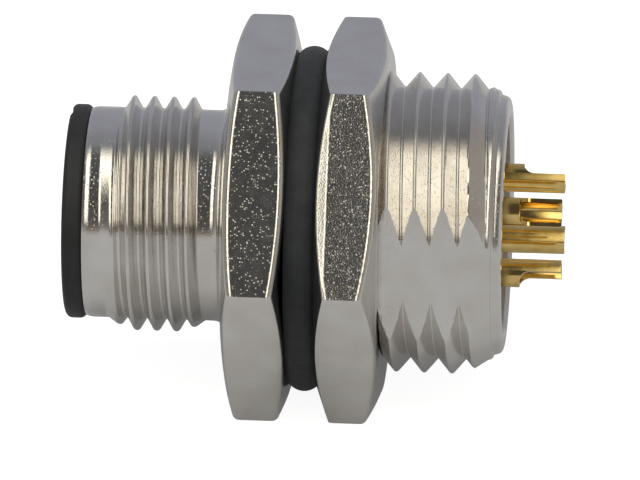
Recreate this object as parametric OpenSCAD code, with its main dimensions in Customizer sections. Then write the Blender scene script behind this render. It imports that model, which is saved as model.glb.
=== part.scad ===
// M12 male panel receptacle: four pins to the front (-X), four solder cups to the rear (+X).
// All sizes in millimetres. X runs along the connector, +Z is up out of a hexagon flat.
// The origin is on the axis, in the rear face of the hexagon flange, where the panel seal bears.
// Angles round the axis are counted from +Y towards +Z.

/* [Mating end] */
// Diameter over the crests of the mating thread
mating_thread_d = 11.9; // [11.7:0.05:12]
// Pitch of the mating thread
mating_pitch = 1; // [0.9:0.05:1.1]
// Number of full crests on the mating thread
mating_crests = 4; // [2:1:4]
// Angle between the flanks of the mating thread
mating_flank_angle = 60; // [55:1:65]
// Diameter of the plain nose, which is also the root of the mating thread
nose_d = 10.68; // [10.5:0.02:10.8]
// Wall thickness of the nose, under the roots of the thread
nose_wall = 0.51; // [0.4:0.01:0.6]
// Length from the nose's front rim to the flange
mating_length = 7.09; // [6.5:0.01:9]
// Distance from the nose's front rim to the first full crest
first_crest_offset = 2.01; // [1.2:0.01:2.3]
// Length of the slight lead-in taper on the nose
nose_taper_l = 0.7; // [0.3:0.05:1]
// Radial drop of that taper
nose_taper_drop = 0.1; // [0.05:0.01:0.15]

/* [Flange] */
// Hexagon size across flats, the same on flange and nut
hex_af = 18; // [17:0.5:22]
// Thickness of the flange
flange_t = 3.32; // [3:0.01:5]
// Distance from the hexagon's flats in to where the domed front of the flange starts
flange_dome_margin = 2.8; // [1:0.1:2.9]
// Radius of the arc that domes the front of the flange
flange_dome_r = 13.5; // [8:0.5:20]
// Distance from the hexagon's flats in to where the rear bevel of the flange starts
flange_bevel_margin = 0.3; // [0.1:0.1:1]
// Angle of the rear bevel
flange_bevel_angle = 16; // [10:1:30]

/* [Rear thread] */
// Diameter over the crests of the rear thread
rear_thread_d = 15.2; // [14.8:0.05:15.6]
// Root diameter of the rear thread
rear_core_d = 13.7; // [13.5:0.02:14]
// Pitch of the rear thread
rear_pitch = 1.41; // [1.3:0.01:1.5]
// Angle between the flanks of the rear thread
rear_flank_angle = 80; // [70:1:85]
// Length from the flange to the rear rim
rear_length = 10.8; // [10:0.05:14]
// Plain relief behind the flange, where the panel seal sits
relief_l = 1.8; // [1.6:0.05:2.4]
// Length of the plain pilot at the rear rim, chamfer included
pilot_l = 0.8; // [0.6:0.05:1.2]
// Height and depth of the chamfer round the rear rim
rim_chamfer = 0.75; // [0.3:0.05:0.8]
// Length of the cone that ends the rear thread
run_out_l = 1.1; // [0.5:0.05:1.2]
// Distance from the axis to the flat milled along the rear thread
flat_offset = 6.7; // [6.3:0.05:7]
// Direction in which the milled flat faces
flat_angle = 180; // [0:60:300]

/* [Lock nut] */
// Thickness of the lock nut
nut_t = 3.29; // [2.8:0.01:4]
// Gap that the panel seal fills between flange and nut
seal_gap = 1.51; // [1.3:0.01:1.7]
// Radial running clearance between nut bore and thread crests
nut_clearance = 0.05; // [0.03:0.01:0.1]
// Distance from the hexagon's flats in to where the front bevel of the nut starts
nut_front_margin = 0.35; // [0.1:0.05:0.5]
// Angle of that bevel
nut_front_angle = 20; // [15:1:30]
// Distance from the hexagon's flats in to where the rear bevel of the nut starts
nut_rear_margin = 0.75; // [0.3:0.05:0.8]
// Angle of that bevel
nut_rear_angle = 22; // [15:1:30]
// Height and depth of the countersinks at both ends of the nut's bore
nut_countersink = 0.3; // [0.1:0.05:0.4]

/* [Panel seal] */
// Distance from the hexagon's flats in to the seal's outer edge
seal_margin = 0.25; // [0:0.05:0.6]
// Least thickness of the seal's cord, as a share of the gap that it is squeezed into
seal_squeeze = 1.15; // [1.05:0.05:1.4]
// Clearance between the seal and the relief that it sits in
seal_clearance = 0.03; // [0.01:0.01:0.1]

/* [Contact carrier] */
// Diameter of the carrier's front collar
collar_d = 10.85; // [10.7:0.05:11.2]
// Thickness of the collar
collar_t = 1; // [0.9:0.05:1.5]
// Radius of the collar's rounded edges
collar_round = 0.3; // [0.1:0.05:0.4]
// Clearance between plastic inserts and the shell's bores
insert_clearance = 0.03; // [0.02:0.01:0.06]
// Wall thickness of the sleeve round the cavity, inside the shell
sleeve_wall = 0.5; // [0.4:0.05:0.6]
// Depth of the cavity from the collar's front
cavity_depth = 9; // [8.6:0.1:9.6]
// Depth and width of the bevel round the cavity's mouth
mouth_bevel = 0.25; // [0.1:0.05:0.35]
// Thickness of the carrier's floor
floor_t = 4.5; // [4.2:0.1:5]
// Direction of the coding rib
key_angle = 96.3; // [0:0.1:359]
// Width of the coding rib
key_w = 1.1; // [0.9:0.05:1.3]
// Height of the coding rib
key_h = 0.55; // [0.4:0.05:0.7]
// Distance from the collar's front to the rib's end
key_recess = 0.6; // [0.3:0.1:1.5]
// Depth of the index notch in the collar's front
index_depth = 0.14; // [0.1:0.02:0.3]
// Width of the index notch
index_w = 1.8; // [1:0.1:2.4]
// Angle from the coding rib to the index notch
index_offset = -15.4; // [-30:0.1:30]

/* [Carrier seal] */
// Depth of the seal groove round the carrier's floor
groove_depth = 0.75; // [0.6:0.05:0.85]
// Width of that groove
groove_w = 1.3; // [1.2:0.05:1.6]
// Distance from the groove's middle to the carrier's rear face
groove_inset = 2.2; // [1.8:0.05:2.6]
// Thickness of the carrier seal's cord before it is squeezed
carrier_seal_cord_d = 0.95; // [0.9:0.05:1.1]

/* [Contacts] */
// Diameter of the circle that the contacts stand on
contact_pcd = 5; // [4.8:0.05:5.2]
// Diameter of the pins
pin_d = 1; // [0.9:0.05:1.1]
// Distance from the collar's front to the pin tips
pin_recess = 1.4; // [1:0.1:2.5]
// Radius of the rounding round a pin's tip
tip_round = 0.35; // [0.2:0.05:0.4]
// Diameter of the shank that is held in the carrier's floor
shank_d = 1.4; // [1.35:0.05:1.45]
// Length over which a pin swells in the floor, ahead of its shank
pin_swell_l = 0.6; // [0.4:0.05:1]
// Radial growth of that swelling
pin_swell = 0.05; // [0.02:0.01:0.1]
// Diameter of the collar that holds a contact fore and aft
stop_d = 2; // [1.8:0.05:2.2]
// Thickness of that collar
stop_t = 1.2; // [0.8:0.1:1.6]
// Clearance between contacts and plastic
contact_clearance = 0.02; // [0.01:0.01:0.05]
// Outer diameter of a solder cup
cup_d = 1.45; // [1.4:0.05:1.6]
// Bore of a solder cup
cup_bore_d = 1.05; // [0.9:0.05:1.15]
// Depth of a solder cup's bore, without the drill point
cup_bore_l = 2.8; // [2.4:0.1:4.5]
// Included angle of the drill point
drill_angle = 118; // [90:1:140]
// Length by which the cups stand out behind the rear rim
cup_overhang = 2.82; // [2:0.02:4]
// Length of the side opening of a cup
cup_cut_l = 2.1; // [1.5:0.05:2.8]
// Depth of the side opening, from the cup's outer wall
cup_cut_depth = 0.66; // [0.3:0.01:0.75]
// Radius of the cutter at the inner end of the side opening
cup_cut_r = 0.55; // [0.5:0.05:0.7]

/* [Rear inserts] */
// Diameter of the shell's rear bore
rear_bore_d = 11; // [10.6:0.05:11.3]
// Height and depth of the chamfer at the rear bore's mouth
rear_bore_chamfer = 0.2; // [0.1:0.05:0.3]
// Thickness of the contact retainer
retainer_t = 3; // [2.4:0.1:3.6]
// Depth of the sealing resin's face below the rear rim
resin_recess = 2.25; // [1.5:0.05:3]
// Radius of the rise where the resin wets the wall
resin_rise = 0.4; // [0.2:0.05:0.6]
// Clearance left round bonded faces
bond_gap = 0.01; // [0.01:0.005:0.03]

/* [Hidden] */

$fn = 96;
cut = 1;
contact_count = 4;
crest_share = 1 / 8;

nickel = [0.74, 0.73, 0.70];
black_plastic = [0.11, 0.11, 0.12];
black_rubber = [0.14, 0.15, 0.16];
black_resin = [0.08, 0.08, 0.08];
gold = [0.83, 0.66, 0.30];

// Places along the connector, from front to rear
flange_front_x = -flange_t;
nose_front_x = flange_front_x - mating_length;
collar_front_x = nose_front_x - collar_t;
cavity_floor_x = collar_front_x + cavity_depth;
shoulder_x = cavity_floor_x + floor_t;
retainer_rear_x = shoulder_x + retainer_t;
resin_face_x = rear_length - resin_recess;
cup_end_x = rear_length + cup_overhang;
nut_front_x = seal_gap;
nut_rear_x = nut_front_x + nut_t;
groove_x = shoulder_x - groove_inset;

// Corner radius of the hexagon, with room to cut beyond it
hex_corner_r = hex_af / 2 / cos(30);
beyond_r = hex_corner_r + cut;

// Where domes and bevels start on the hexagons
flat_r = hex_af / 2;
flange_dome_start = flat_r - flange_dome_margin;
flange_bevel_start = flat_r - flange_bevel_margin;
nut_front_start = flat_r - nut_front_margin;
nut_rear_start = flat_r - nut_rear_margin;

// Radii from the shell inwards: bore, carrier sleeve, cavity, seal groove
front_bore_r = nose_d / 2 - nose_wall;
sleeve_r = front_bore_r - insert_clearance;
cavity_r = sleeve_r - sleeve_wall;
groove_floor_r = sleeve_r - groove_depth;
rear_bore_r = rear_bore_d / 2;
nut_bore_r = rear_thread_d / 2 + nut_clearance;

// The panel seal fills the room from the relief out to its margin under the flats
seal_inner_r = rear_core_d / 2 + seal_clearance;
seal_cord_d = max(seal_squeeze * seal_gap, flat_r - seal_margin - seal_inner_r);

// Turns a shape built along +Z so that it lies along +X
module along_x() rotate([0, 90, 0]) children();

// Revolves a profile drawn as [radius, x] about the connector's axis
module turned() along_x() rotate_extrude() children();

// A rectangle of a turned profile, from the axis out to radius r
module step(r, from_x, to_x) translate([0, from_x]) square([r, to_x - from_x]);

// A turned profile that tapers from radius r1 at from_x to radius r2 at to_x
module taper(r1, r2, from_x, to_x)
    polygon([[0, from_x], [r1, from_x], [r2, to_x], [0, to_x]]);

// One thread ridge of a turned profile, sunk a little into the core
module ridge(core_r, crest_r, pitch, flank_angle, x) {
    half_crest = pitch * crest_share / 2;
    root_r = core_r - (crest_r - core_r) / 4;
    half_root = half_crest + (crest_r - root_r) * tan(flank_angle / 2);
    polygon([[root_r, x - half_root], [crest_r, x - half_crest],
             [crest_r, x + half_crest], [root_r, x + half_root]]);
}

// A hexagon bar between two places along X, with corners at +Y and -Y
module hex_bar(from_x, to_x)
    translate([from_x, 0, 0]) along_x() rotate([0, 0, 30])
        cylinder(r = hex_corner_r, h = to_x - from_x, $fn = 6);

// Profile of a face that is flat out to start_r and then falls away in an arc towards +X
module domed_face(face_x, start_r, arc_r, to_x) {
    step(start_r, face_x, to_x);
    intersection() {
        translate([start_r, face_x]) square([beyond_r - start_r, to_x - face_x]);
        translate([start_r, face_x + arc_r]) circle(arc_r, $fn = 180);
    }
}

// Profile between a plain end at plain_x and a face at face_x that is bevelled outside start_r
module bevelled_face(plain_x, face_x, start_r, angle) {
    fall = (beyond_r - start_r) * tan(angle);
    bevel_end_x = face_x > plain_x ? face_x - fall : face_x + fall;
    polygon([[0, plain_x], [beyond_r, plain_x], [beyond_r, bevel_end_x], [start_r, face_x], [0, face_x]]);
}

// Places a shape that is drawn for a contact on the connector's axis
module at_contact(number)
    rotate([key_angle + 45 + 360 / contact_count * (number - 1), 0, 0])
        translate([0, contact_pcd / 2, 0]) children();

module mating_profile() {
    nose_r = nose_d / 2;
    taper(nose_r - nose_taper_drop, nose_r, nose_front_x, nose_front_x + nose_taper_l);
    step(nose_r, nose_front_x + nose_taper_l, flange_front_x + cut);
    for (i = [0 : mating_crests - 1])
        ridge(nose_r, mating_thread_d / 2, mating_pitch, mating_flank_angle,
              nose_front_x + first_crest_offset + i * mating_pitch);
}

module rear_thread_profile() {
    core_r = rear_core_d / 2;
    crest_r = rear_thread_d / 2;
    pilot_x = rear_length - pilot_l;
    full_end_x = pilot_x - run_out_l;
    step(core_r, -cut, rear_length - rim_chamfer);
    taper(core_r, core_r - rim_chamfer, rear_length - rim_chamfer, rear_length);
    // Ridges from the relief to the pilot, with the last ones cut by the run-out cone
    intersection() {
        union()
            for (x = [full_end_x - rear_pitch / 8 : -rear_pitch : relief_l - rear_pitch])
                ridge(core_r, crest_r, rear_pitch, rear_flank_angle, x);
        union() {
            step(crest_r, relief_l, full_end_x);
            taper(crest_r, core_r, full_end_x, pilot_x);
        }
    }
}

module flange()
    intersection() {
        hex_bar(flange_front_x, 0);
        turned() domed_face(flange_front_x, flange_dome_start, flange_dome_r, cut);
        turned() bevelled_face(flange_front_x - cut, 0, flange_bevel_start, flange_bevel_angle);
    }

// The flat milled along the whole rear thread, from the flange to the rim
module milled_flat()
    rotate([flat_angle, 0, 0])
        translate([0, flat_offset, -rear_thread_d])
            cube([rear_length + cut, rear_thread_d, 2 * rear_thread_d]);

module shell()
    color(nickel)
    difference() {
        union() {
            turned() mating_profile();
            flange();
            difference() {
                turned() rear_thread_profile();
                milled_flat();
            }
        }
        translate([nose_front_x - cut, 0, 0]) along_x()
            cylinder(r = front_bore_r, h = shoulder_x - nose_front_x + 2 * cut);
        translate([shoulder_x, 0, 0]) along_x()
            cylinder(r = rear_bore_r, h = rear_length - shoulder_x + cut);
        translate([rear_length - rear_bore_chamfer, 0, 0]) along_x()
            cylinder(r1 = rear_bore_r, r2 = rear_bore_r + rear_bore_chamfer + cut,
                     h = rear_bore_chamfer + cut);
    }

// The collar's profile: a rectangle with both outer edges rounded
module collar_profile() {
    r = collar_d / 2;
    step(r - collar_round, collar_front_x, nose_front_x);
    step(r, collar_front_x + collar_round, nose_front_x - collar_round);
    for (x = [collar_front_x + collar_round, nose_front_x - collar_round])
        translate([r - collar_round, x]) circle(collar_round, $fn = 48);
}

module contact_carrier()
    color(black_plastic)
    difference() {
        union() {
            difference() {
                turned() {
                    collar_profile();
                    step(sleeve_r, nose_front_x - collar_round, shoulder_x);
                }
                translate([collar_front_x - cut, 0, 0]) along_x()
                    cylinder(r = cavity_r, h = cavity_depth + cut);
                translate([collar_front_x - cut, 0, 0]) along_x()
                    cylinder(r1 = cavity_r + mouth_bevel + cut, r2 = cavity_r,
                             h = mouth_bevel + cut);
            }
            coding_rib();
        }
        index_notch();
        seal_groove();
        for (number = [1 : contact_count])
            at_contact(number) contact_hole();
    }

// The rib that lets a mating plug in at one angle only; its root runs into the sleeve wall
module coding_rib()
    rotate([key_angle, 0, 0])
        translate([collar_front_x + key_recess, cavity_r - key_h, -key_w / 2])
            cube([cavity_depth - key_recess, key_h + sleeve_wall / 2, key_w]);

module index_notch()
    rotate([key_angle + index_offset, 0, 0])
        translate([collar_front_x - cut, cavity_r, -index_w / 2])
            cube([cut + index_depth, collar_d, index_w]);

module seal_groove()
    turned()
        translate([groove_floor_r, groove_x - groove_w / 2])
            square([groove_depth + cut, groove_w]);

// The stepped hole for one contact in the carrier's floor, about the contact's own axis
module contact_hole() {
    // The cone runs on ahead of the floor and into the shank's hole at the same slope
    beyond = pin_swell_l / 2;
    slope = pin_swell / pin_swell_l;
    hole_r = pin_d / 2 + contact_clearance;
    translate([cavity_floor_x - beyond, 0, 0]) along_x()
        cylinder(r1 = hole_r - slope * beyond, r2 = hole_r + pin_swell + slope * beyond,
                 h = pin_swell_l + 2 * beyond, $fn = 48);
    translate([cavity_floor_x + pin_swell_l, 0, 0]) along_x()
        cylinder(d = shank_d + 2 * contact_clearance, h = floor_t, $fn = 48);
    translate([shoulder_x - stop_t / 2, 0, 0]) along_x()
        cylinder(d = stop_d + 2 * contact_clearance, h = stop_t, $fn = 48);
}

// A sealing ring whose round cord is squeezed flat between two radii or two faces
module carrier_seal() {
    middle_r = (groove_floor_r + front_bore_r) / 2;
    color(black_rubber)
    turned()
        intersection() {
            translate([middle_r, groove_x]) circle(d = carrier_seal_cord_d, $fn = 48);
            translate([groove_floor_r + bond_gap, groove_x - carrier_seal_cord_d])
                square([front_bore_r - groove_floor_r - 2 * bond_gap, 2 * carrier_seal_cord_d]);
        }
}

// One contact about its own axis: pin, shank, stop collar and solder cup in one turned piece
module contact_profile() {
    tip_x = collar_front_x + pin_recess;
    pin_r = pin_d / 2;
    step(pin_r - tip_round, tip_x, tip_x + tip_round);
    intersection() {
        translate([pin_r - tip_round, tip_x + tip_round]) circle(tip_round, $fn = 48);
        step(pin_r, tip_x, tip_x + tip_round);
    }
    step(pin_r, tip_x + tip_round, cavity_floor_x);
    taper(pin_r, pin_r + pin_swell, cavity_floor_x, cavity_floor_x + pin_swell_l);
    step(shank_d / 2, cavity_floor_x + pin_swell_l, shoulder_x);
    step(stop_d / 2, shoulder_x - stop_t / 2, shoulder_x + stop_t / 2);
    step(cup_d / 2, shoulder_x, cup_end_x);
}

module cup_bore() {
    bore_r = cup_bore_d / 2;
    point_l = bore_r / tan(drill_angle / 2);
    bore_end_x = cup_end_x - cup_bore_l;
    translate([bore_end_x, 0, 0]) along_x() cylinder(r = bore_r, h = cup_bore_l + cut, $fn = 48);
    translate([bore_end_x - point_l, 0, 0]) along_x()
        cylinder(r1 = 0, r2 = bore_r, h = point_l, $fn = 48);
}

// The side opening of a cup, on the side that faces away from the connector's axis
module cup_side_cut() {
    low = cup_d / 2 - cup_cut_depth;
    start_x = cup_end_x - cup_cut_l;
    translate([start_x + cup_cut_r, low + cup_cut_r, -cup_d])
        cylinder(r = cup_cut_r, h = 2 * cup_d, $fn = 64);
    translate([start_x + cup_cut_r, low, -cup_d])
        cube([cup_cut_l, cup_d, 2 * cup_d]);
}

module contact(number)
    color(gold)
    at_contact(number)
        difference() {
            turned() contact_profile();
            cup_bore();
            cup_side_cut();
        }

// The disc pressed in behind the carrier, which traps the stop collars of the contacts
module contact_retainer()
    color(black_plastic)
    difference() {
        translate([shoulder_x, 0, 0]) along_x()
            cylinder(r = rear_bore_r - insert_clearance, h = retainer_t);
        for (number = [1 : contact_count])
            at_contact(number) {
                translate([shoulder_x - cut, 0, 0]) along_x()
                    cylinder(d = cup_d + 2 * contact_clearance, h = retainer_t + 2 * cut, $fn = 48);
                translate([shoulder_x - cut, 0, 0]) along_x()
                    cylinder(d = stop_d + 2 * contact_clearance, h = stop_t / 2 + cut, $fn = 48);
            }
    }

// Resin poured in from the rear; it climbs a little where it wets the wall
module sealing_resin() {
    r = rear_bore_r - bond_gap;
    color(black_resin)
    difference() {
        turned()
            difference() {
                step(r, retainer_rear_x, resin_face_x + resin_rise);
                step(r - resin_rise, resin_face_x, resin_face_x + 2 * resin_rise);
                translate([r - resin_rise, resin_face_x + resin_rise]) circle(resin_rise, $fn = 48);
            }
        for (number = [1 : contact_count])
            at_contact(number)
                translate([retainer_rear_x - cut, 0, 0]) along_x()
                    cylinder(d = cup_d + 2 * bond_gap, h = rear_length, $fn = 48);
    }
}

module panel_seal() {
    ring_r = seal_inner_r + seal_cord_d / 2;
    color(black_rubber)
    turned()
        intersection() {
            translate([ring_r, seal_gap / 2]) circle(d = seal_cord_d, $fn = 64);
            translate([ring_r - seal_cord_d, 0]) square([2 * seal_cord_d, seal_gap]);
        }
}

module lock_nut()
    color(nickel)
    difference() {
        intersection() {
            hex_bar(nut_front_x, nut_rear_x);
            turned() bevelled_face(nut_rear_x + cut, nut_front_x, nut_front_start, nut_front_angle);
            turned() bevelled_face(nut_front_x - cut, nut_rear_x, nut_rear_start, nut_rear_angle);
        }
        translate([nut_front_x - cut, 0, 0]) along_x()
            cylinder(r = nut_bore_r, h = nut_t + 2 * cut);
        translate([nut_front_x - cut, 0, 0]) along_x()
            cylinder(r1 = nut_bore_r + nut_countersink + cut, r2 = nut_bore_r, h = nut_countersink + cut);
        translate([nut_rear_x - nut_countersink, 0, 0]) along_x()
            cylinder(r1 = nut_bore_r, r2 = nut_bore_r + nut_countersink + cut, h = nut_countersink + cut);
    }

shell();
contact_carrier();
carrier_seal();
contact(1);  // contact_1
contact(2);  // contact_2
contact(3);  // contact_3
contact(4);  // contact_4
contact_retainer();
sealing_resin();
panel_seal();
lock_nut();
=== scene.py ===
import math

import bmesh
import bpy
import numpy as np
from mathutils import Matrix, Vector


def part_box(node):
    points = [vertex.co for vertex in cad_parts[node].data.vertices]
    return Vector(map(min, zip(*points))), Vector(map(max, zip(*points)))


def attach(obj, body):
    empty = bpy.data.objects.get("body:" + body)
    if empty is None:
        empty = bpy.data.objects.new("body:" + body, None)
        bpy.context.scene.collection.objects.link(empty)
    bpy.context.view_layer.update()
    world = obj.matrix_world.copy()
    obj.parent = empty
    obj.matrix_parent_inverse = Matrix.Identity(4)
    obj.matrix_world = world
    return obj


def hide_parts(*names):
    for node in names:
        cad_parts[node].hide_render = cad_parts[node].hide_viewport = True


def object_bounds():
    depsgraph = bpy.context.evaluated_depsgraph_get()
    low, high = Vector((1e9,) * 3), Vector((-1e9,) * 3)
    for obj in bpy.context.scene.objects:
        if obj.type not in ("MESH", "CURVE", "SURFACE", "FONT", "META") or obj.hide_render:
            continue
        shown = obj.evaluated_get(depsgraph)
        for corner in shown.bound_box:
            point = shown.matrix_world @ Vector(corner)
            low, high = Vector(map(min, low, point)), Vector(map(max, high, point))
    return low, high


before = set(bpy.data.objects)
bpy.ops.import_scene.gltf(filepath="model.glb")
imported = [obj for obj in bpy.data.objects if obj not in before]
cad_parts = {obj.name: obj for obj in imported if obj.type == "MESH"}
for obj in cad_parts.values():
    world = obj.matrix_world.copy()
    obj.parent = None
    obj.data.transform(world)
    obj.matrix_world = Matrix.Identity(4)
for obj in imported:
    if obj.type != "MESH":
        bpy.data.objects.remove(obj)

cad_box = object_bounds()

# ---------------------------------------------------------------------------
# Shell: one piece of hexagon brass bar, turned and threaded on the lathe, its rear thread milled
# flat on one side, then nickel plated all over. It carries the mating thread in front of the
# flange and the panel thread behind it.
# ---------------------------------------------------------------------------
MM = 0.001
TURN = 2 * math.pi

shell_low, shell_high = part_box("shell")
NOSE_FRONT = shell_low.x / MM
REAR_RIM = shell_high.x / MM
FLAT_R = shell_high.z / MM
CORNER_ROUND = 0.12
EDGE_ROUND = 0.36
SHARP_DEG = 26
# A row this far beside a bend keeps the face next to it flat where it is shaded smooth
BESIDE = 0.03

NOSE_R = 5.34
NOSE_WALL = 0.51
NOSE_BREAK_X, NOSE_BREAK_R = 0.03, 0.13
NOSE_EDGE = 1.0
NOSE_EDGE_DEG = 22
MATING_PITCH = 1.0
MATING_CREST_R = 5.95
MATING_START = -9.85
MATING_END = -3.95
MATING_FULL_CRESTS = (-8.38, -5.15)
MATING_LAST_CRESTS = (-9.3, -4.33)
MATING_LEAN = 0.25
MATING_FIRST_CREST = -8.235
NECK_FILLET = 0.6

FLANGE_FRONT = -3.32
FLANGE_DOME_START = 6.2
FLANGE_DOME_R = 13.5
FLANGE_BEVEL_START = 8.7
FLANGE_SEAT_R = FLANGE_BEVEL_START - 0.1
FLANGE_BEVEL_SLOPE = math.tan(math.radians(16))

REAR_PITCH = 1.41
REAR_CORE_R = 6.85
REAR_CREST_R = 7.6
REAR_START = 1.7
REAR_LEAD = 0.5
REAR_FULL_END = REAR_RIM - 1.88
REAR_END = REAR_RIM - 0.75
REAR_FIRST_CREST = 6.21
MILLED_OFFSET = 6.7
REAR_BORE_R = 5.5
REAR_BORE_BEVEL = 0.2
BORE_STEP = 2.02

# Half a pitch of each thread: distance from the crest as a share of the pitch, and height
MATING_FORM = [(0, 1), (0.0445, 0.987), (0.0836, 0.95), (0.1126, 0.8934), (0.125, 0.8582),
               (0.378, 0.1402), (0.391, 0.1033), (0.419, 0.048), (0.457, 0.0125), (0.5, 0)]
REAR_FORM = [(0, 1), (0.02, 0.993), (0.04, 0.972), (0.0543, 0.9524), (0.07, 0.9173),
             (0.12, 0.8055), (0.18, 0.6713), (0.25, 0.5148), (0.32, 0.3582), (0.45, 0.0675),
             (0.4674, 0.0286), (0.485, 0.006), (0.5, 0)]
# The rear rim with its chamfer and the small step before it: x from the rim, radius from the core
RIM_STEPS = [(-0.75, 0), (-0.68, -0.008), (-0.6, -0.04), (-0.53, -0.11), (-0.5, -0.22), (-0.45, -0.26),
             (-0.36, -0.29), (-0.25, -0.32), (-0.14, -0.37), (-0.06, -0.47), (-0.01, -0.63), (0, -0.75)]


def around(extra=(), step=1.5):
    """Angles about the axis from +Y towards +Z, closer where an edge runs along the piece."""
    plain = np.arange(0, 360 + step / 2, step)
    extra = np.array([e % 360 for e in extra])
    plain = [a for a in plain if not len(extra) or np.abs(extra - a).min() > 0.2 or a % 60 == 0]
    return np.radians(np.unique(np.round(np.concatenate([plain, extra]), 4)))


def hexagon_r(angle, flat_r=FLAT_R, rounding=CORNER_ROUND):
    """Distance from the axis to a hexagon with corners at +Y and -Y, its corners slightly round."""
    off_corner = (angle + TURN / 12) % (TURN / 6) - TURN / 12
    centre = (flat_r - rounding) / math.cos(TURN / 12)
    touch = TURN / 12 - math.atan((flat_r - rounding) * math.tan(TURN / 12) / flat_r)
    if abs(off_corner) < touch:
        across = centre * math.sin(off_corner)
        return centre * math.cos(off_corner) + math.sqrt(rounding ** 2 - across ** 2)
    return flat_r / math.cos(TURN / 12 - abs(off_corner))


HEXAGON_EDGES = [60 * k + e for k in range(7) for e in (-0.36, -0.18, 0.18, 0.36)
                 if 0 < 60 * k + e < 360]


def helix_rows(half_form, pitch, crest_at_90, start, end):
    """Rows of a right-hand thread at angle zero: place along x, height, and place of their crest."""
    first_crest = crest_at_90 - pitch / 4
    form = [(-share, height) for share, height in half_form[::-1]] + half_form[1:-1]
    turns = range(math.floor((start - pitch - first_crest) / pitch) - 1,
                  math.ceil((end - first_crest) / pitch) + 2)
    rows = [(first_crest + (k + share) * pitch, height, first_crest + k * pitch)
            for k in turns for share, height in form]
    return np.array([row for row in rows if start - 1.2 * pitch <= row[0] <= end + 0.2 * pitch]).T


def fading_helix(rows, angle, pitch, ends, root_r, crest_r, full, last, lean):
    """A thread's profile at this angle, whose crests sink and lean inwards towards both ends."""
    along = pitch * angle / TURN
    crest = rows[2] + along
    share = np.interp(crest, [last[0], full[0], full[1], last[1]], [0, 1, 1, 0])
    inwards = np.where(crest < sum(full) / 2, lean, -lean)
    x = np.clip(rows[0] + along + (1 - share) * inwards * rows[1], *ends)
    return list(zip(x, root_r + rows[1] * share * (crest_r - root_r)))


def helix(rows, angle, pitch, ends, root_r, crest_r, cones):
    """A thread's profile at this angle, cut down by cones: places along x and the most radius there."""
    x = np.clip(rows[0] + pitch * angle / TURN, *ends)
    r = root_r + rows[1] * (crest_r - root_r)
    return list(zip(x, np.minimum(r, np.interp(x, *cones))))


def milled(profile, limit):
    """Lowers what stands above the milled flat; edges slide down their own flanks to it."""
    x = [p[0] for p in profile]
    r = [p[1] for p in profile]
    out_x, out_r = list(x), list(r)
    i = 0
    while i < len(r):
        if r[i] <= limit:
            i += 1
            continue
        j = i
        while j + 1 < len(r) and r[j + 1] > limit:
            j += 1
        left, right = x[i], x[j]
        if i > 0:
            left += (x[i - 1] - x[i]) * (r[i] - limit) / (r[i] - r[i - 1])
        if j + 1 < len(r):
            right += (x[j + 1] - x[j]) * (r[j] - limit) / (r[j] - r[j + 1])
        for k in range(i, j + 1):
            out_x[k] = min(max(x[k], left), right)
            out_r[k] = limit
        out_x[i], out_x[j] = left, right
        i = j + 1
    return list(zip(out_x, out_r))


def arc(x, r, radius, from_deg, to_deg, count):
    """Points of a fillet or round of a profile; zero degrees points to +X, ninety outwards."""
    return [(x + radius * math.cos(math.radians(a)), r + radius * math.sin(math.radians(a)))
            for a in np.linspace(from_deg, to_deg, count)]


def turned_piece(name, angles, profile_at):
    """A closed skin over one profile of (x, radius) points for each angle about the axis."""
    grid = np.array([profile_at(a) for a in angles])
    cols, rows = grid.shape[:2]
    angle = np.array(angles)[:, None]
    points = np.stack([grid[..., 0], grid[..., 1] * np.cos(angle), grid[..., 1] * np.sin(angle)], -1)
    c, r = np.meshgrid(np.arange(cols - 1), np.arange(rows), indexing="ij")
    n = (r + 1) % rows
    quads = np.stack([c * rows + r, c * rows + n, (c + 1) * rows + n, (c + 1) * rows + r], -1)
    mesh = bpy.data.meshes.new(name)
    mesh.from_pydata((points.reshape(-1, 3) * MM).tolist(), [], quads.reshape(-1, 4).tolist())
    return settled(name, mesh)


def settled(name, mesh):
    """Welds a mesh where its points meet, turns its faces outwards and makes it an object."""
    bm = bmesh.new()
    bm.from_mesh(mesh)
    bmesh.ops.remove_doubles(bm, verts=bm.verts, dist=0.0002 * MM)
    bmesh.ops.dissolve_degenerate(bm, edges=bm.edges, dist=0.0001 * MM)
    bmesh.ops.recalc_face_normals(bm, faces=bm.faces)
    bm.to_mesh(mesh)
    bm.free()
    mesh.polygons.foreach_set("use_smooth", [True] * len(mesh.polygons))
    mesh.set_sharp_from_angle(angle=math.radians(SHARP_DEG))
    piece = bpy.data.objects.new(name, mesh)
    bpy.context.collection.objects.link(piece)
    return piece


def dome_x(r):
    """Place along x of the flange's domed front at this radius."""
    return FLANGE_FRONT + FLANGE_DOME_R - math.sqrt(FLANGE_DOME_R ** 2 - (r - FLANGE_DOME_START) ** 2)


def edge_arc(x, r, fall, side, radius=EDGE_ROUND):
    """A round edge where a face that falls away by this slope meets the hexagon at (x, r)."""
    centre_x = x - side * radius * (math.hypot(1, fall) - fall)
    face_deg = math.degrees(math.atan(fall))
    if side < 0:
        return arc(centre_x, r - radius, radius, 180 - face_deg, 90, 8)
    return arc(centre_x, r - radius, radius, 90, face_deg, 8)


mating_rows = helix_rows(MATING_FORM, MATING_PITCH, MATING_FIRST_CREST, MATING_START, MATING_END)
rear_rows = helix_rows(REAR_FORM, REAR_PITCH, REAR_FIRST_CREST, REAR_START, REAR_END)
rear_cones = ([REAR_START, REAR_START + REAR_LEAD, REAR_FULL_END, REAR_END],
              [REAR_CORE_R, REAR_CREST_R, REAR_CREST_R, REAR_CORE_R])


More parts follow.
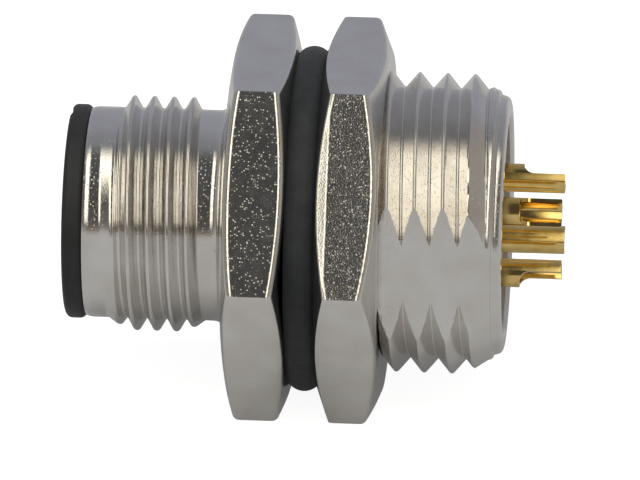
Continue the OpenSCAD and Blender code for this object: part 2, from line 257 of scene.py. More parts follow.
def shell_profile(angle):
    hex_r = hexagon_r(angle)
    dome_reach = hex_r - FLANGE_DOME_START
    dome_fall = dome_reach / math.sqrt(FLANGE_DOME_R ** 2 - dome_reach ** 2)
    front_edge = edge_arc(dome_x(hex_r), hex_r, dome_fall, -1)
    rear_edge = edge_arc(-(hex_r - FLANGE_BEVEL_START) * FLANGE_BEVEL_SLOPE, hex_r,
                         FLANGE_BEVEL_SLOPE, 1)
    nose_bend = NOSE_FRONT + NOSE_BREAK_X + NOSE_EDGE * math.sin(math.radians(NOSE_EDGE_DEG))
    front = [(NOSE_FRONT, NOSE_R - NOSE_WALL), (NOSE_FRONT, NOSE_R - NOSE_BREAK_R)]
    front += arc(nose_bend, NOSE_R - NOSE_EDGE, NOSE_EDGE, 90 + NOSE_EDGE_DEG, 90, 7)
    front += [(nose_bend + 0.04, NOSE_R), (MATING_START, NOSE_R)]
    front += fading_helix(mating_rows, angle, MATING_PITCH, (MATING_START, MATING_END), NOSE_R,
                          MATING_CREST_R, MATING_FULL_CRESTS, MATING_LAST_CRESTS, MATING_LEAN)
    front += [(MATING_END, NOSE_R)]
    front += arc(FLANGE_FRONT - NECK_FILLET, NOSE_R + NECK_FILLET, NECK_FILLET, -90, 0, 10)
    front += [(FLANGE_FRONT, FLANGE_DOME_START)]
    front += [(dome_x(r), r) for r in np.linspace(FLANGE_DOME_START, front_edge[0][1], 12)[1:-1]]
    front += front_edge + [(front_edge[-1][0] + BESIDE, hex_r), (rear_edge[0][0] - BESIDE, hex_r)]
    front += rear_edge
    rear = [(0, FLANGE_SEAT_R), (0, REAR_CORE_R), (REAR_START, REAR_CORE_R)]
    rear += helix(rear_rows, angle, REAR_PITCH, (REAR_START, REAR_END), REAR_CORE_R, REAR_CREST_R,
                  rear_cones)
    rear += [(REAR_RIM + x, REAR_CORE_R + r) for x, r in RIM_STEPS]
    across = math.cos(angle - math.pi)
    if across > 0.5:
        rear = milled(rear, MILLED_OFFSET / across)
    bore = [(REAR_RIM, REAR_BORE_R + REAR_BORE_BEVEL), (REAR_RIM - REAR_BORE_BEVEL, REAR_BORE_R),
            (BORE_STEP, REAR_BORE_R), (BORE_STEP, NOSE_R - NOSE_WALL)]
    return front + rear + bore


flat_edges = [180 + s * math.degrees(math.acos(MILLED_OFFSET / r)) for s in (-1, 1)
              for r in (REAR_CREST_R, REAR_CREST_R - 0.02, REAR_CORE_R)]
shell = turned_piece("shell_plated", around(HEXAGON_EDGES + flat_edges), shell_profile)


def node_maker(tree):
    """Returns a function that adds a shader node to this tree and fills its inputs and settings."""

    def node(kind, inputs=None, **settings):
        made = tree.nodes.new("ShaderNode" + kind)
        for key, value in settings.items():
            setattr(made, key, value)
        for key, value in (inputs or {}).items():
            if isinstance(value, bpy.types.NodeSocket):
                tree.links.new(value, made.inputs[key])
            else:
                made.inputs[key].default_value = value
        return made

    return node


def new_material(name, **sockets):
    """A Principled material with constants on its own sockets; returns it and its node tools."""
    material = bpy.data.materials.new(name)
    material.use_nodes = True
    tree = material.node_tree
    shader = tree.nodes["Principled BSDF"]
    for label, value in sockets.items():
        shader.inputs[label.replace("_", " ")].default_value = value
    node = node_maker(tree)
    place = node("TexCoord").outputs["Object"]
    in_mm = node("Mapping", {"Vector": place, "Scale": (1 / MM, 1 / MM, 1 / MM)}).outputs["Vector"]
    return material, tree, shader, node, in_mm


def ramp(node, factor, stops):
    """A colour ramp on this factor with stops of (place, grey or colour); returns its colour."""
    made = node("ValToRGB", {"Fac": factor})
    bar = made.color_ramp
    while len(bar.elements) < len(stops):
        bar.elements.new(0.5)
    for element, (place, colour) in zip(bar.elements, stops):
        element.position = place
        element.color = (*colour, 1) if isinstance(colour, tuple) else (colour, colour, colour, 1)
    return made.outputs["Color"]


def nickel_plate(name, grain_height, speck_share):
    """Bright nickel over slightly grainy brass, with sparse raised specks; dull in the rear bore."""
    material, tree, shader, node, in_mm = new_material(name, Metallic=1.0)
    clouds = node("TexNoise", {"Vector": in_mm, "Scale": 0.45, "Detail": 3.0}).outputs["Fac"]
    tint = ramp(node, clouds, [(0.3, (0.66, 0.635, 0.6)), (0.7, (0.75, 0.735, 0.71))])
    tree.links.new(tint, shader.inputs["Base Color"])
    haze = node("TexNoise", {"Vector": in_mm, "Scale": 2.2, "Detail": 4.0}).outputs["Fac"]
    bright = ramp(node, haze, [(0.3, 0.07), (0.75, 0.15)])
    across = node("VectorMath", {0: in_mm, 1: (0, 1, 1)}, operation="MULTIPLY")
    radius = node("VectorMath", {0: across.outputs[0]}, operation="LENGTH").outputs["Value"]
    near_axis = node("Math", {0: radius, 1: REAR_BORE_R + 0.1}, operation="LESS_THAN")
    station = node("SeparateXYZ", {0: in_mm}).outputs["X"]
    at_rear = node("Math", {0: station, 1: 0.0}, operation="GREATER_THAN")
    in_bore = node("Math", {0: near_axis.outputs[0], 1: at_rear.outputs[0]}, operation="MULTIPLY")
    rough = node("MixRGB", {0: in_bore.outputs[0], 1: bright, 2: (0.5, 0.5, 0.5, 1)})
    tree.links.new(rough.outputs[0], shader.inputs["Roughness"])
    grain = node("TexNoise", {"Vector": in_mm, "Scale": 13.0, "Detail": 2.0, "Roughness": 0.6})
    low_grain = node("Math", {0: grain.outputs["Fac"], 1: grain_height}, operation="MULTIPLY")
    drift = node("TexNoise", {"Vector": in_mm, "Scale": 22.0, "Detail": 1.0}).outputs["Color"]
    shaken = node("MixRGB", {0: 0.035, 1: in_mm, 2: drift}, blend_type="ADD")
    specks = node("TexVoronoi", {"Vector": shaken.outputs[0], "Scale": 9.5}, feature="F1")
    rises = ramp(node, specks.outputs["Distance"], [(0.0, 1.0), (0.31, 0.0)])
    chance = node("SeparateXYZ", {0: specks.outputs["Color"]}).outputs["X"]
    some = ramp(node, chance, [(1 - speck_share, 0.0), (1.0, 1.0)])
    raised = node("Math", {0: rises, 1: some}, operation="MULTIPLY")
    height = node("Math", {0: low_grain.outputs[0], 1: raised.outputs[0]}, operation="ADD")
    bump = node("Bump", {"Height": height.outputs[0], "Distance": 0.014 * MM, "Strength": 0.9})
    tree.links.new(bump.outputs["Normal"], shader.inputs["Normal"])
    return material


shell.data.materials.append(nickel_plate("nickel_plate", 0.3, 0.42))
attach(shell, "connector")
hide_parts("shell")

# ---------------------------------------------------------------------------
# Contact carrier: a black glass-filled nylon moulding pushed into the shell from the front. Its
# collar stands before the nose, the cavity behind it takes the mating plug, and one rib inside
# codes it. The four contacts pass through its thick floor.
# ---------------------------------------------------------------------------
carrier_low, carrier_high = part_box("contact_carrier")
COLLAR_FRONT = carrier_low.x / MM
COLLAR_R = carrier_high.y / MM
CARRIER_REAR = carrier_high.x / MM
COLLAR_ROUND = 0.3
SLEEVE_R = 4.8
CAVITY_R = 4.3
CAVITY_DEPTH = 9
CAVITY_FLOOR = COLLAR_FRONT + CAVITY_DEPTH
FLOOR_ROUND = 0.15
MOUTH_BEVEL = 0.25
KEY_ANGLE = math.radians(96.3)
KEY_RECESS = 0.6
KEY_H = 0.55
KEY_W = 1.1
KEY_ROUND = 0.12
INDEX_TURN = math.radians(15.4)
INDEX_DEPTH = 0.14
INDEX_W = 1.8
PIN_HOLE_R = 0.52
SHANK_HOLE_R = 0.74
CONTACT_CIRCLE_R = 2.5
contact_angles = [KEY_ANGLE + math.radians(45 + 90 * k) for k in range(4)]


def carrier_profile(angle):
    outline = [(COLLAR_FRONT, CAVITY_R + MOUTH_BEVEL)]
    outline += arc(COLLAR_FRONT + COLLAR_ROUND, COLLAR_R - COLLAR_ROUND, COLLAR_ROUND, 180, 90, 8)
    outline += arc(NOSE_FRONT - COLLAR_ROUND, COLLAR_R - COLLAR_ROUND, COLLAR_ROUND, 90, 0, 8)
    outline += [(NOSE_FRONT, SLEEVE_R), (CARRIER_REAR, SLEEVE_R), (CARRIER_REAR, 0),
                (CAVITY_FLOOR, 0)]
    outline += [(CAVITY_FLOOR, CAVITY_R * share) for share in (0.2, 0.4, 0.6, 0.8)]
    outline += arc(CAVITY_FLOOR - FLOOR_ROUND, CAVITY_R - FLOOR_ROUND, FLOOR_ROUND, 0, 90, 4)
    outline += [(COLLAR_FRONT + MOUTH_BEVEL, CAVITY_R)]
    return outline


def block(low, high, angle, edge=0.0):
    """A cutter or rib with slightly rounded edges, drawn along +Y and turned about the axis."""
    mesh = bpy.data.meshes.new("block")
    bm = bmesh.new()
    bmesh.ops.create_cube(bm, size=1)
    size = [h - l for l, h in zip(low, high)]
    middle = [(h + l) / 2 for l, h in zip(low, high)]
    bmesh.ops.scale(bm, vec=[s * MM for s in size], verts=bm.verts)
    bmesh.ops.translate(bm, vec=[m * MM for m in middle], verts=bm.verts)
    if edge:
        bmesh.ops.bevel(bm, geom=bm.edges[:], offset=edge * MM, segments=3, profile=0.5,
                        affect="EDGES")
    bmesh.ops.rotate(bm, cent=(0, 0, 0), matrix=Matrix.Rotation(angle, 3, "X"), verts=bm.verts)
    bm.to_mesh(mesh)
    bm.free()
    made = bpy.data.objects.new("block", mesh)
    bpy.context.collection.objects.link(made)
    return made


def on_contact_circle(piece, angle):
    """Sets a piece made about the axis out on the contact circle, its +Y side facing outwards."""
    place = Vector((0, CONTACT_CIRCLE_R * math.cos(angle), CONTACT_CIRCLE_R * math.sin(angle))) * MM
    piece.data.transform(Matrix.Translation(place) @ Matrix.Rotation(angle, 4, "X"))
    return piece


def rod(profile, angle, count=64):
    """A turned piece or cutter about an axis of its own, which stands on the contact circle."""
    return on_contact_circle(turned_piece("rod", np.linspace(0, TURN, count + 1), lambda a: profile), angle)


def joined(piece, others, operation):
    """Adds solids to a piece or cuts them out of it, and keeps the result as its own mesh."""
    for other in others:
        step = piece.modifiers.new("joined", "BOOLEAN")
        step.operation = operation
        step.solver = "EXACT"
        step.object = other
    result = bpy.data.meshes.new_from_object(
        piece.evaluated_get(bpy.context.evaluated_depsgraph_get()))
    name = piece.name
    bpy.data.objects.remove(piece)
    for other in others:
        bpy.data.objects.remove(other)
    return settled(name, result)


carrier = turned_piece("carrier_moulding", around(step=2.0), carrier_profile)
key_rib = block((COLLAR_FRONT + KEY_RECESS, CAVITY_R - KEY_H, -KEY_W / 2),
                (CAVITY_FLOOR + 0.3, CAVITY_R + 0.2, KEY_W / 2), KEY_ANGLE, KEY_ROUND)
carrier = joined(carrier, [key_rib], "UNION")
index_notch = block((COLLAR_FRONT - 0.5, CAVITY_R + 0.1, -INDEX_W / 2),
                    (COLLAR_FRONT + INDEX_DEPTH, COLLAR_R + 1, INDEX_W / 2), KEY_ANGLE - INDEX_TURN)
hole_profile = [(CAVITY_FLOOR - 1, 0), (CAVITY_FLOOR - 1, PIN_HOLE_R), (CAVITY_FLOOR + 0.1, PIN_HOLE_R),
                (CAVITY_FLOOR + 0.1, SHANK_HOLE_R), (CARRIER_REAR + 1, SHANK_HOLE_R),
                (CARRIER_REAR + 1, 0)]
pin_holes = [rod(hole_profile, angle) for angle in contact_angles]
carrier = joined(carrier, [index_notch] + pin_holes, "DIFFERENCE")


def moulded_black():
    """Satin black nylon: a fine spark-eroded grain, a cooler bloom where light grazes it."""
    material, tree, shader, node, in_mm = new_material(
        "moulded_black", Roughness=0.5, Specular_IOR_Level=0.35)
    clouds = node("TexNoise", {"Vector": in_mm, "Scale": 0.8, "Detail": 4.0}).outputs["Fac"]
    tint = ramp(node, clouds, [(0.3, (0.011, 0.0115, 0.0125)), (0.75, (0.018, 0.0185, 0.02))])
    tree.links.new(tint, shader.inputs["Base Color"])
    grain = node("TexNoise", {"Vector": in_mm, "Scale": 14.0, "Detail": 2.0})
    rough = ramp(node, grain.outputs["Fac"], [(0.35, 0.42), (0.7, 0.62)])
    tree.links.new(rough, shader.inputs["Roughness"])
    bump = node("Bump", {"Height": grain.outputs["Fac"], "Distance": 0.012 * MM, "Strength": 0.6})
    tree.links.new(bump.outputs["Normal"], shader.inputs["Normal"])
    return material


black_plastic = moulded_black()
carrier.data.materials.append(black_plastic)
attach(carrier, "connector")
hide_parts("contact_carrier")

# ---------------------------------------------------------------------------
# Contacts: four pins turned from brass rod and gold plated, each in one piece with its solder
# cup. The cup's outer side is milled open so that a tinned wire can be laid in.
# ---------------------------------------------------------------------------
contact_low, contact_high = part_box("contact_1")
PIN_TIP = contact_low.x / MM
CUP_END = contact_high.x / MM
PIN_R = 0.5
PIN_ROOT_R = PIN_R + 0.05
TIP_ROUND = 0.35
SHANK_START = CAVITY_FLOOR + 0.6
SHANK_R = 0.7
STOP_R = 1
STOP_HALF_L = 0.6
CUP_R = 0.725
CUP_ROUND = 0.05
CUP_BORE_R = 0.525
CUP_BORE_ROUND = 0.03
CUP_BORE_END = CUP_END - 2.8
DRILL_POINT_L = 0.31
CUP_CUT_START = CUP_END - 2.1
CUP_CUT_LOW = CUP_R - 0.66
CUP_CUT_R = 0.55


def contact_outline():
    outline = [(PIN_TIP, 0)]
    outline += arc(PIN_TIP + TIP_ROUND, PIN_R - TIP_ROUND, TIP_ROUND, 180, 90, 8)
    outline += [(CAVITY_FLOOR, PIN_R), (SHANK_START, PIN_ROOT_R), (SHANK_START, SHANK_R),
                (CARRIER_REAR - STOP_HALF_L, SHANK_R), (CARRIER_REAR - STOP_HALF_L, STOP_R),
                (CARRIER_REAR + STOP_HALF_L, STOP_R), (CARRIER_REAR + STOP_HALF_L, CUP_R)]
    outline += arc(CUP_END - CUP_ROUND, CUP_R - CUP_ROUND, CUP_ROUND, 90, 0, 4)
    outline += arc(CUP_END - CUP_BORE_ROUND, CUP_BORE_R + CUP_BORE_ROUND, CUP_BORE_ROUND, 0, -90, 3)
    outline += [(CUP_BORE_END, CUP_BORE_R), (CUP_BORE_END - DRILL_POINT_L, 0)]
    return outline


def cup_cutter(angle):
    """The shape that opens the cup's side: a slot cutter with a round inner end."""
    side = arc(CUP_CUT_START + CUP_CUT_R, CUP_CUT_LOW + CUP_CUT_R, CUP_CUT_R, 180, 270, 9)
    side += [(CUP_END + 1, CUP_CUT_LOW), (CUP_END + 1, 2), (CUP_CUT_START, 2)]
    mesh = bpy.data.meshes.new("cutter")
    verts = [(x * MM, y * MM, z * MM) for z in (-1.5, 1.5) for x, y in side]
    n = len(side)
    faces = [list(range(n))[::-1], list(range(n, 2 * n))]
    faces += [[i, (i + 1) % n, (i + 1) % n + n, i + n] for i in range(n)]
    mesh.from_pydata(verts, [], faces)
    return on_contact_circle(settled("cutter", mesh), angle)


def gold_plate():
    """Thin hard gold over turned brass, with fine turning rings and slightly deeper patches."""
    material, tree, shader, node, in_mm = new_material("gold_plate", Metallic=1.0)
    clouds = node("TexNoise", {"Vector": in_mm, "Scale": 1.6, "Detail": 3.0}).outputs["Fac"]
    tint = ramp(node, clouds, [(0.3, (0.7, 0.48, 0.15)), (0.7, (0.82, 0.62, 0.25))])
    tree.links.new(tint, shader.inputs["Base Color"])
    rough = ramp(node, clouds, [(0.3, 0.07), (0.75, 0.14)])
    tree.links.new(rough, shader.inputs["Roughness"])
    rings = node("TexWave", {"Vector": in_mm, "Scale": 6.0, "Distortion": 1.2, "Detail": 2.0},
                 bands_direction="X")
    bump = node("Bump", {"Height": rings.outputs["Fac"], "Distance": 0.0007 * MM, "Strength": 0.5})
    tree.links.new(bump.outputs["Normal"], shader.inputs["Normal"])
    return material


gold = gold_plate()
for number, angle in enumerate(contact_angles, 1):
    contact = rod(contact_outline(), angle, 72)
    contact.name = f"turned_contact_{number}"
    contact = joined(contact, [cup_cutter(angle)], "DIFFERENCE")
    contact.data.materials.append(gold)
    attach(contact, "connector")
    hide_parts(f"contact_{number}")

# ---------------------------------------------------------------------------
# Contact retainer: a black moulded disc pressed in behind the carrier, which traps the stop
# collars of the contacts. It stays hidden between the carrier and the resin.
# ---------------------------------------------------------------------------
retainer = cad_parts["contact_retainer"]
retainer.data.materials.clear()
retainer.data.materials.append(black_plastic)

# ---------------------------------------------------------------------------
# Sealing resin: black two-part resin poured in from the rear, over the retainer. It sets with a
# glossy skin, climbs a little where it wets the wall and the contacts, and bonds them all.
# ---------------------------------------------------------------------------
resin_low, resin_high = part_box("sealing_resin")
RESIN_FRONT = resin_low.x / MM
RESIN_TOP = resin_high.x / MM
RESIN_R = resin_high.y / MM
RESIN_RISE = 0.4
CUP_WETTING = 0.22
CUP_WETTING_REACH = 0.16
CUP_HOLE_R = CUP_R + 0.01


def resin_profile(angle):
    outline = [(RESIN_FRONT, 0), (RESIN_FRONT, RESIN_R), (RESIN_TOP, RESIN_R)]
    by_the_wall = RESIN_R - RESIN_RISE * (1 - np.cos(np.linspace(0.2, math.pi / 2, 7)))
    further_in = np.linspace(RESIN_R - RESIN_RISE, 0, 34)[1:]
    for r in np.concatenate([by_the_wall, further_in]):
        wall = max(r - (RESIN_R - RESIN_RISE), 0) / RESIN_RISE
        rise = RESIN_RISE * (1 - math.sqrt(max(1 - wall ** 2, 0)))
        y, z = r * math.cos(angle), r * math.sin(angle)
        for a in contact_angles:
            off_centre = math.hypot(y - CONTACT_CIRCLE_R * math.cos(a), z - CONTACT_CIRCLE_R * math.sin(a))
            rise += CUP_WETTING * math.exp(-(max(off_centre - CUP_R, 0) / CUP_WETTING_REACH) ** 1.3)
        outline.append((RESIN_TOP - RESIN_RISE + min(rise, RESIN_RISE), r))
    return outline


resin = turned_piece("poured_resin", around(step=2.0), resin_profile)
cup_hole_profile = [(RESIN_FRONT - 1, 0), (RESIN_FRONT - 1, CUP_HOLE_R), (RESIN_TOP + 1, CUP_HOLE_R),
                    (RESIN_TOP + 1, 0)]
cup_holes = [rod(cup_hole_profile, angle) for angle in contact_angles]
resin = joined(resin, cup_holes, "DIFFERENCE")


def set_resin():
    """Glossy black resin with a barely wavy skin and a few dull dust specks."""
    material, tree, shader, node, in_mm = new_material("set_resin", Specular_IOR_Level=0.5)
    shader.inputs["Base Color"].default_value = (0.012, 0.012, 0.013, 1)
    dust = node("TexNoise", {"Vector": in_mm, "Scale": 3.0, "Detail": 5.0}).outputs["Fac"]
    rough = ramp(node, dust, [(0.5, 0.1), (0.72, 0.34)])
    tree.links.new(rough, shader.inputs["Roughness"])
    waves = node("TexNoise", {"Vector": in_mm, "Scale": 0.9, "Detail": 1.0})
    bump = node("Bump", {"Height": waves.outputs["Fac"], "Distance": 0.12 * MM, "Strength": 0.4})
    tree.links.new(bump.outputs["Normal"], shader.inputs["Normal"])
    return material


resin.data.materials.append(set_resin())
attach(resin, "connector")
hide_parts("sealing_resin")

# ---------------------------------------------------------------------------
# Panel seal and carrier seal: rings of black nitrile rubber with a round cord. The panel seal is
# squeezed flat between flange and nut; the small one sits in the carrier's groove, out of sight.
# ---------------------------------------------------------------------------
seal_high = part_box("panel_seal")[1]
SEAL_GAP = seal_high.x / MM
SEAL_OUTER_R = seal_high.y / MM
SEAL_INNER_R = REAR_CORE_R + 0.03


def panel_seal_profile(angle):
    cord_r = (SEAL_OUTER_R - SEAL_INNER_R) / 2
    middle_r = (SEAL_OUTER_R + SEAL_INNER_R) / 2
    tilt = math.degrees(math.asin(SEAL_GAP / 2 / cord_r))
    outline = arc(SEAL_GAP / 2, middle_r, cord_r, 90 - tilt, 90 + tilt, 13)
    outline += arc(SEAL_GAP / 2, middle_r, cord_r, 270 - tilt, 270 + tilt, 9)
    return [(min(max(x, 0), SEAL_GAP), r) for x, r in outline]


panel_ring = turned_piece("panel_seal_ring", around(step=2.0), panel_seal_profile)


def seal_rubber():
    """Matt black rubber with a slight sheen, a faintly uneven tone and a fine mottle in its roughness and
    surface.
    """
    material, tree, shader, node, in_mm = new_material(
        "seal_rubber", Specular_IOR_Level=0.28, Sheen_Weight=0.02, Sheen_Roughness=0.5)
    clouds = node("TexNoise", {"Vector": in_mm, "Scale": 1.1, "Detail": 4.0}).outputs["Fac"]
    tint = ramp(node, clouds, [(0.3, (0.013, 0.0145, 0.016)), (0.75, (0.022, 0.024, 0.027))])
    tree.links.new(tint, shader.inputs["Base Color"])
    fine = node("TexNoise", {"Vector": in_mm, "Scale": 9.0, "Detail": 3.0}).outputs["Fac"]
    rough = ramp(node, fine, [(0.3, 0.42), (0.7, 0.62)])
    tree.links.new(rough, shader.inputs["Roughness"])
    bump = node("Bump", {"Height": fine, "Distance": 0.02 * MM, "Strength": 0.5})
    tree.links.new(bump.outputs["Normal"], shader.inputs["Normal"])
    return material


rubber = seal_rubber()
panel_ring.data.materials.append(rubber)
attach(panel_ring, "connector")
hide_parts("panel_seal")
carrier_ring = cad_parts["carrier_seal"]
carrier_ring.data.materials.clear()
carrier_ring.data.materials.append(rubber)

# ---------------------------------------------------------------------------
# Lock nut: sliced from the same hexagon brass bar, bevelled on both faces, its facets falling away
# a little towards the front, tapped with the rear thread and nickel plated. It clamps the panel
# against the seal.
# ---------------------------------------------------------------------------
nut_low, nut_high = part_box("lock_nut")
NUT_FRONT = nut_low.x / MM
# The real nut is a little thinner than its solid, all of it taken off the rear face
NUT_THINNER = 0.12
NUT_REAR = nut_high.x / MM - NUT_THINNER
NUT_FRONT_START = 8.65
NUT_FRONT_SLOPE = math.tan(math.radians(20))
NUT_REAR_START = 8.6
NUT_REAR_SLOPE = math.tan(math.radians(22))
NUT_FACET_FALL = math.tan(math.radians(3.1))
NUT_LIP_L = 0.06
NUT_LIP = NUT_LIP_L * math.tan(math.radians(11))
NUT_EDGE_ROUND = 0.12
NUT_FACE_ROUND = 0.04
NUT_PLAY = 0.05
NUT_MINOR_R = REAR_CORE_R + 0.07
NUT_MAJOR_R = REAR_CREST_R + NUT_PLAY
NUT_MOUTH = 0.3
NUT_MOUTH_WIDER = 0.25
NUT_LEAD = 0.35
NUT_THREAD = (NUT_FRONT + NUT_MOUTH, NUT_REAR - 0.05)
nut_rows = helix_rows(REAR_FORM, REAR_PITCH, REAR_FIRST_CREST, *NUT_THREAD)


def nut_profile(angle):
    hex_r = hexagon_r(angle)
    facet_start = NUT_FRONT + (hexagon_r(0) - NUT_FRONT_START) * NUT_FRONT_SLOPE
    # Ahead of the line between two corners each facet has a narrow lip and then falls away a little
    fall = hex_r / FLAT_R * NUT_FACET_FALL
    lip = NUT_LIP - NUT_LIP_L * fall
    edge_r = ((hex_r - lip - fall * (facet_start - NUT_FRONT + NUT_FRONT_START * NUT_FRONT_SLOPE))
              / (1 - fall * NUT_FRONT_SLOPE))
    edge_x = NUT_FRONT + (edge_r - NUT_FRONT_START) * NUT_FRONT_SLOPE
    front_edge = edge_arc(edge_x, edge_r, NUT_FRONT_SLOPE, -1, NUT_EDGE_ROUND)
    turn_x = max(facet_start, front_edge[-1][0] + NUT_LIP_L + 0.05)
    rear_edge = edge_arc(NUT_REAR - (hex_r - NUT_REAR_START) * NUT_REAR_SLOPE, hex_r, NUT_REAR_SLOPE, 1)
    outline = [(NUT_FRONT, NUT_MAJOR_R + NUT_MOUTH_WIDER), (NUT_FRONT, NUT_FRONT_START - NUT_FACE_ROUND),
               (NUT_FRONT + 0.01, NUT_FRONT_START + NUT_FACE_ROUND)] + front_edge
    outline += [(turn_x - NUT_LIP_L - BESIDE, hex_r - NUT_LIP - BESIDE * fall),
                (turn_x - NUT_LIP_L, hex_r - NUT_LIP), (turn_x, hex_r), (turn_x + BESIDE, hex_r),
                (rear_edge[0][0] - BESIDE, hex_r)] + rear_edge
    outline += [(NUT_REAR - 0.01, NUT_REAR_START + NUT_FACE_ROUND),
                (NUT_REAR, NUT_REAR_START - NUT_FACE_ROUND), (NUT_REAR, NUT_MAJOR_R + 0.02)]
    low, high = NUT_THREAD
    x = np.clip(nut_rows[0] + REAR_PITCH * angle / TURN, low, high)
    r = NUT_MINOR_R + nut_rows[1] * (NUT_MAJOR_R - NUT_MINOR_R)
    lead_in = np.interp(x, [low, low + NUT_LEAD], [NUT_MAJOR_R, NUT_MINOR_R])
    bore = list(zip(x, np.maximum(r, lead_in)))
    return outline + bore[::-1]


nut = turned_piece("lock_nut_plated", around(HEXAGON_EDGES), nut_profile)
nut.data.materials.append(nickel_plate("nickel_plate_nut", 0.62, 0.42))
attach(nut, "lock_nut")
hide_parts("lock_nut")

# ---------------------------------------------------------------------------
# Studio: a plain pale sheet under the connector, two plain lamps above it and in front, and a room
# that is dark in front, grey behind and above, with a tall warm panel at either side.
# ---------------------------------------------------------------------------
object_low = cad_box[0]
SHEET_HALF = 3
floor_mesh = bpy.data.meshes.new("table_sheet")
sheet_corners = [(x * SHEET_HALF, y * SHEET_HALF, 0) for x, y in ((-1, -1), (1, -1), (1, 1), (-1, 1))]
floor_mesh.from_pydata(sheet_corners, [], [(0, 1, 2, 3)])
floor = bpy.data.objects.new("table_sheet", floor_mesh)
floor.location = (0, 0, object_low.z)
bpy.context.collection.objects.link(floor)

paper = bpy.data.materials.new("pale_paper")
paper.use_nodes = True
paper.node_tree.nodes.clear()
paper_node = node_maker(paper.node_tree)
rays = paper_node("LightPath")
shared = paper_node("Math", {0: rays.outputs["Is Glossy Ray"], 1: 0.12}, operation="MULTIPLY")
through = paper_node("Math", {0: rays.outputs["Is Transmission Ray"], 1: shared.outputs[0]},
                     operation="MAXIMUM")
seen = paper_node("Math", {0: rays.outputs["Is Camera Ray"], 1: through.outputs[0]},
                  operation="MAXIMUM")
matt = paper_node("BsdfDiffuse", {"Color": (0.365, 0.37, 0.38, 1)})
glow = paper_node("Emission", {"Color": (1, 1, 1, 1), "Strength": 0.92})
pale = paper_node("BsdfDiffuse", {"Color": (0.25, 0.25, 0.25, 1)})
lit = paper_node("AddShader", {0: glow.outputs[0], 1: pale.outputs[0]})
blend = paper_node("MixShader", {0: seen.outputs[0], 1: matt.outputs[0], 2: lit.outputs[0]})
paper_node("OutputMaterial", {"Surface": blend.outputs[0]})
floor.data.materials.append(paper)


def lamp(name, place, size, power):
    """A plain lamp turned to the connector, seen neither in the view nor in reflections."""
    data = bpy.data.lights.new(name, "AREA")
    data.shape = "RECTANGLE"
    data.size, data.size_y = size
    data.energy = power
    made = bpy.data.objects.new(name, data)
    made.location = place
    made.rotation_euler = Vector(place).to_track_quat("Z", "Y").to_euler()
    made.visible_camera = False
    made.visible_glossy = False
    bpy.context.collection.objects.link(made)


lamp("overhead", (0, -0.15, 0.75), (0.7, 0.7), 4)
lamp("front_fill", (0.1, -0.8, 0.35), (0.6, 0.4), 1.5)

world = bpy.data.worlds.new("studio_room")
bpy.context.scene.world = world
world.use_nodes = True
world.node_tree.nodes.clear()
room = node_maker(world.node_tree)
look = room("SeparateXYZ", {0: room("TexCoord").outputs["Generated"]})
toward = room("Math", {0: look.outputs["Y"], 1: -1.0}, operation="MULTIPLY")
sweep = room("Math", {0: look.outputs["Z"], 1: toward.outputs[0]}, operation="ARCTAN2")
share = room("Math", {0: sweep.outputs[0], 1: 1 / math.pi}, operation="MULTIPLY")
walls = ramp(room, share.outputs[0],
             [(0.0, (0.30, 0.26, 0.21)), (0.05, (0.07, 0.06, 0.055)), (0.2, (0.04, 0.04, 0.042)),
              (0.47, (0.055, 0.055, 0.06)), (0.56, (0.22, 0.23, 0.25)), (0.72, (0.30, 0.31, 0.36)),
              (1.0, (0.36, 0.375, 0.43))])
side = room("Math", {0: look.outputs["X"]}, operation="ABSOLUTE")
side_share = ramp(room, side.outputs[0], [(0.6, 0.0), (0.78, 1.0)])
to_left = room("Math", {0: look.outputs["X"], 1: 0.0}, operation="LESS_THAN")
side_colour = room("MixRGB", {0: to_left.outputs[0], 1: (0.36, 0.33, 0.3, 1), 2: (0.3, 0.28, 0.26, 1)})
side_walls = room("MixRGB", {0: side_share, 1: walls, 2: side_colour.outputs[0]})
panel_width = ramp(room, side.outputs[0], [(0.18, 0.0), (0.23, 1.0), (0.5, 1.0), (0.56, 0.0)])
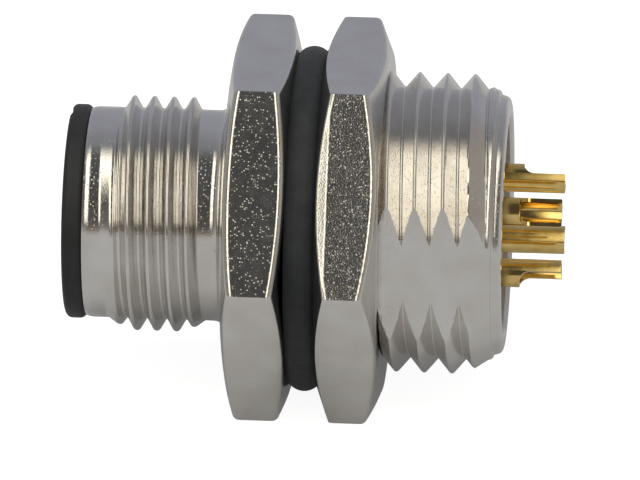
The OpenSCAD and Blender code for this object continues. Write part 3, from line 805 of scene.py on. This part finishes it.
panel_height = ramp(room, share.outputs[0],
                    [(0.04, 0.0), (0.08, 0.8), (0.2, 1.0), (0.46, 1.0), (0.56, 0.0)])
panels = room("Math", {0: panel_width, 1: panel_height}, operation="MULTIPLY")
sides = room("MixRGB", {0: panels.outputs[0], 1: side_walls.outputs[0], 2: (2.0, 1.88, 1.6, 1)})
path = room("LightPath")
gloss_share = room("Math", {0: path.outputs["Is Glossy Ray"], 1: 0.03}, operation="MULTIPLY")
clear_share = room("Math", {0: path.outputs["Is Transmission Ray"], 1: gloss_share.outputs[0]},
                   operation="MAXIMUM")
in_view = room("Math", {0: path.outputs["Is Camera Ray"], 1: clear_share.outputs[0]}, operation="MAXIMUM")
backdrop = room("MixRGB", {0: in_view.outputs[0], 1: sides.outputs[0], 2: (1, 1, 1, 1)})
air = room("Background", {"Color": backdrop.outputs[0], "Strength": 1.0})
room("OutputWorld", {"Surface": air.outputs[0]})

# ---------------------------------------------------------------------------
# Camera: a long lens at the height of a product table, looking slightly down on the connector.
# ---------------------------------------------------------------------------
CAMERA_AZIMUTH = math.radians(4)
CAMERA_ELEVATION = math.radians(23.1)
CAMERA_ROLL = math.radians(0.35)
CAMERA_DISTANCE = 0.56
VIEW_WIDTH = 32.4215
aim = Vector((1.287 * MM, 0, -1.17 * MM))
back = Vector((math.sin(CAMERA_AZIMUTH) * math.cos(CAMERA_ELEVATION),
               -math.cos(CAMERA_AZIMUTH) * math.cos(CAMERA_ELEVATION), math.sin(CAMERA_ELEVATION)))
camera_data = bpy.data.cameras.new("camera")
camera_data.sensor_width = 36
camera_data.lens = camera_data.sensor_width * CAMERA_DISTANCE / (VIEW_WIDTH * MM)
camera_data.clip_start, camera_data.clip_end = 0.01, 20
camera = bpy.data.objects.new("camera", camera_data)
camera.location = aim + back * CAMERA_DISTANCE
roll = Matrix.Rotation(CAMERA_ROLL, 3, "Z").to_quaternion()
camera.rotation_euler = (back.to_track_quat("Z", "Y") @ roll).to_euler()
bpy.context.collection.objects.link(camera)
scene = bpy.context.scene
scene.camera = camera
scene.view_settings.view_transform = "Standard"
